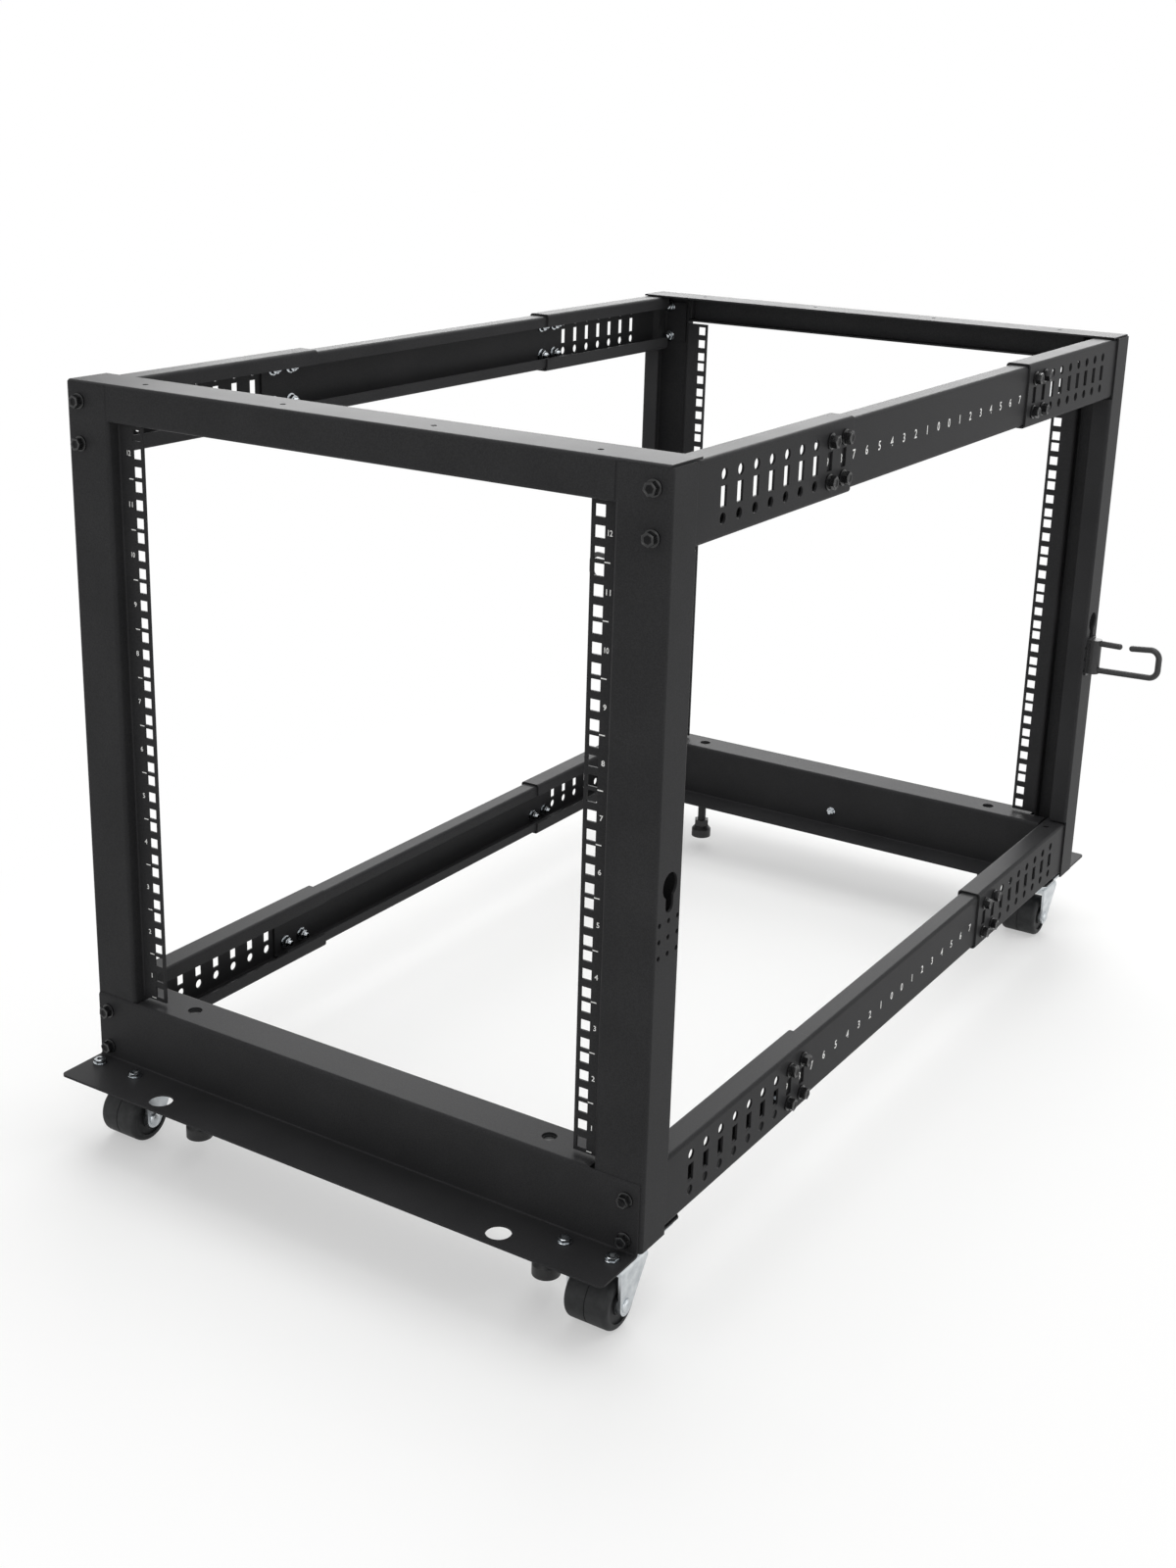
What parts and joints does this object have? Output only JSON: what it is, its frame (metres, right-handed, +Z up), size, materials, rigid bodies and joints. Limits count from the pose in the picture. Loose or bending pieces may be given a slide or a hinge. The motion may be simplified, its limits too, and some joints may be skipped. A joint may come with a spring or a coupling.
{
  "type": "four post open frame rack",
  "caption": "Open frame equipment rack with square-hole rails on four posts, hat-section base beams, bolted telescoping side rails, swivel casters, levelling feet and cable rings.",
  "frame": {"origin": "on the floor under the middle of the rack", "axes": "+Z up, -Y is the front, +X the right side seen from the front"},
  "size_m": [0.768, 1.112, 0.714],
  "materials": {
    "powder_coat": "fine-textured satin black powder coat",
    "ring_coat": "smooth black coat on steel rod",
    "zinc": "bright zinc plate",
    "wheel": "black moulded tread, faint parting groove",
    "foot": "black pad on a steel stud"
  },
  "bodies": {
    "frame": {"front_left_post": "powder_coat", "front_right_post": "powder_coat", "rear_left_post": "powder_coat", "rear_right_post": "powder_coat", "front_top_beam": "powder_coat", "rear_top_beam": "powder_coat", "front_base_beam": "powder_coat", "rear_base_beam": "powder_coat", "upper_left_front_sleeve": "powder_coat", "upper_left_centre_bar": "powder_coat", "upper_left_rear_sleeve": "powder_coat", "upper_right_front_sleeve": "powder_coat", "upper_right_centre_bar": "powder_coat", "upper_right_rear_sleeve": "powder_coat", "lower_left_front_sleeve": "powder_coat", "lower_left_centre_bar": "powder_coat", "lower_left_rear_sleeve": "powder_coat", "lower_right_front_sleeve": "powder_coat", "lower_right_centre_bar": "powder_coat", "lower_right_rear_sleeve": "powder_coat", "left_cable_ring": "ring_coat", "left_ring_bracket": "ring_coat", "right_cable_ring": "ring_coat", "right_ring_bracket": "ring_coat", "front_left_caster_plate": "zinc", "front_right_caster_plate": "zinc", "rear_left_caster_plate": "zinc", "rear_right_caster_plate": "zinc"},
    "front_left_fork": {"front_left_caster_fork": "zinc"},
    "front_left_wheel": {"front_left_caster_wheel": "wheel"},
    "front_left_foot": {"front_left_levelling_foot": "foot"},
    "front_right_fork": {"front_right_caster_fork": "zinc"},
    "front_right_wheel": {"front_right_caster_wheel": "wheel"},
    "front_right_foot": {"front_right_levelling_foot": "foot"},
    "rear_left_fork": {"rear_left_caster_fork": "zinc"},
    "rear_left_wheel": {"rear_left_caster_wheel": "wheel"},
    "rear_left_foot": {"rear_left_levelling_foot": "foot"},
    "rear_right_fork": {"rear_right_caster_fork": "zinc"},
    "rear_right_wheel": {"rear_right_caster_wheel": "wheel"},
    "rear_right_foot": {"rear_right_levelling_foot": "foot"}
  },
  "joints": [
    {"name": "front_left_swivel", "type": "hinge", "parent": "frame", "child": "front_left_fork", "pos_m": [-0.261, -0.481, 0.06], "axis": [0, 0, 1], "continuous": true},
    {"name": "front_left_wheel_spin", "type": "hinge", "parent": "front_left_fork", "child": "front_left_wheel", "pos_m": [-0.261, -0.5, 0.024], "axis": [1, 0, 0], "continuous": true},
    {"name": "front_left_foot_screw", "type": "slide", "parent": "frame", "child": "front_left_foot", "axis": [0, 0, -1], "range_m": [-0.008, 0.014]},
    {"name": "front_right_swivel", "type": "hinge", "parent": "frame", "child": "front_right_fork", "pos_m": [0.261, -0.481, 0.06], "axis": [0, 0, 1], "continuous": true},
    {"name": "front_right_wheel_spin", "type": "hinge", "parent": "front_right_fork", "child": "front_right_wheel", "pos_m": [0.261, -0.5, 0.024], "axis": [1, 0, 0], "continuous": true},
    {"name": "front_right_foot_screw", "type": "slide", "parent": "frame", "child": "front_right_foot", "axis": [0, 0, -1], "range_m": [-0.008, 0.014]},
    {"name": "rear_left_swivel", "type": "hinge", "parent": "frame", "child": "rear_left_fork", "pos_m": [-0.261, 0.481, 0.06], "axis": [0, 0, 1], "continuous": true},
    {"name": "rear_left_wheel_spin", "type": "hinge", "parent": "rear_left_fork", "child": "rear_left_wheel", "pos_m": [-0.261, 0.462, 0.024], "axis": [1, 0, 0], "continuous": true},
    {"name": "rear_left_foot_screw", "type": "slide", "parent": "frame", "child": "rear_left_foot", "axis": [0, 0, -1], "range_m": [-0.008, 0.014]},
    {"name": "rear_right_swivel", "type": "hinge", "parent": "frame", "child": "rear_right_fork", "pos_m": [0.261, 0.481, 0.06], "axis": [0, 0, 1], "continuous": true},
    {"name": "rear_right_wheel_spin", "type": "hinge", "parent": "rear_right_fork", "child": "rear_right_wheel", "pos_m": [0.261, 0.462, 0.024], "axis": [1, 0, 0], "continuous": true},
    {"name": "rear_right_foot_screw", "type": "slide", "parent": "frame", "child": "rear_right_foot", "axis": [0, 0, -1], "range_m": [-0.008, 0.014]}
  ]
}
